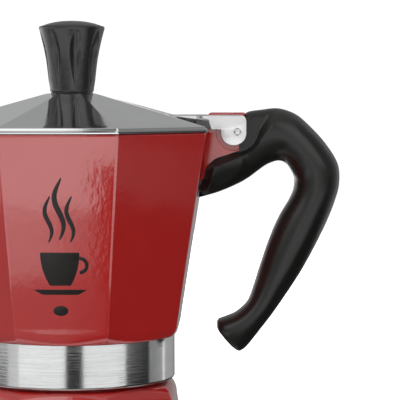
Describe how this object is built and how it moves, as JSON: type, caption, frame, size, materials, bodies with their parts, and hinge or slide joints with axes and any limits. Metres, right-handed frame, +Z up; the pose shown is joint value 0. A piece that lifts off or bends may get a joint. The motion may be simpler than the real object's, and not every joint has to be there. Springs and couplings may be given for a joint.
{
  "type": "moka pot",
  "caption": "Octagonal stove-top coffee maker: boiler with safety valve, screw-on collector with hinged lid, fluted knob and curved handle.",
  "frame": {"origin": "centre of the boiler's flat base", "axes": "+Z up, +X towards the handle, -X towards the spout"},
  "size_m": [0.1819, 0.112, 0.2157],
  "materials": {
    "red_enamel": "gloss enamel with slight orange peel",
    "cast_aluminium": "cast and turned, satin",
    "polished_aluminium": "polished",
    "black_plastic": "satin moulded",
    "bright_steel": "bright",
    "valve_brass": "machined",
    "seal_rubber": "matt",
    "dark_fibre": "matt"
  },
  "bodies": {
    "base": {"boiler": "red_enamel", "funnel": "cast_aluminium", "funnel_stem": "cast_aluminium", "funnel_screen": "cast_aluminium", "valve_body": "valve_brass", "valve_washer": "seal_rubber", "valve_spring": "bright_steel", "valve_cap": "valve_brass"},
    "plunger": {"valve_plunger": "bright_steel"},
    "seal": {"gasket": "seal_rubber", "filter_plate": "cast_aluminium"},
    "upper": {"collector": "red_enamel", "column": "cast_aluminium", "hinge_pin": "bright_steel", "handle": "black_plastic", "handle_pin": "bright_steel"},
    "lid_group": {"lid": "polished_aluminium", "lid_knob": "black_plastic", "knob_insert": "valve_brass", "knob_screw": "bright_steel", "knob_washer": "dark_fibre"}
  },
  "joints": [
    {"name": "top_lift", "type": "slide", "parent": "base", "child": "seal", "axis": [0, 0, 1], "range_m": [0, 0.0131]},
    {"name": "top_unscrew", "type": "hinge", "parent": "seal", "child": "upper", "pos_m": [0, 0, 0.08], "axis": [0, 0, 1], "range_deg": [0, 1170]},
    {"name": "lid_hinge", "type": "hinge", "parent": "upper", "child": "lid_group", "pos_m": [0.0677, 0, 0.1707], "axis": [0, 1, 0], "range_deg": [0, 105]},
    {"name": "valve_travel", "type": "slide", "parent": "base", "child": "plunger", "axis": [0.6995, -0.6995, 0.1466], "range_m": [0, 0.002], "stiffness_N_per_m": 3000, "springref_m": -0.002, "deforming": ["valve_spring"]}
  ],
  "couplings": [
    {"joint": "top_lift", "follows": "top_unscrew", "m_per_rad": 0.00063662}
  ]
}
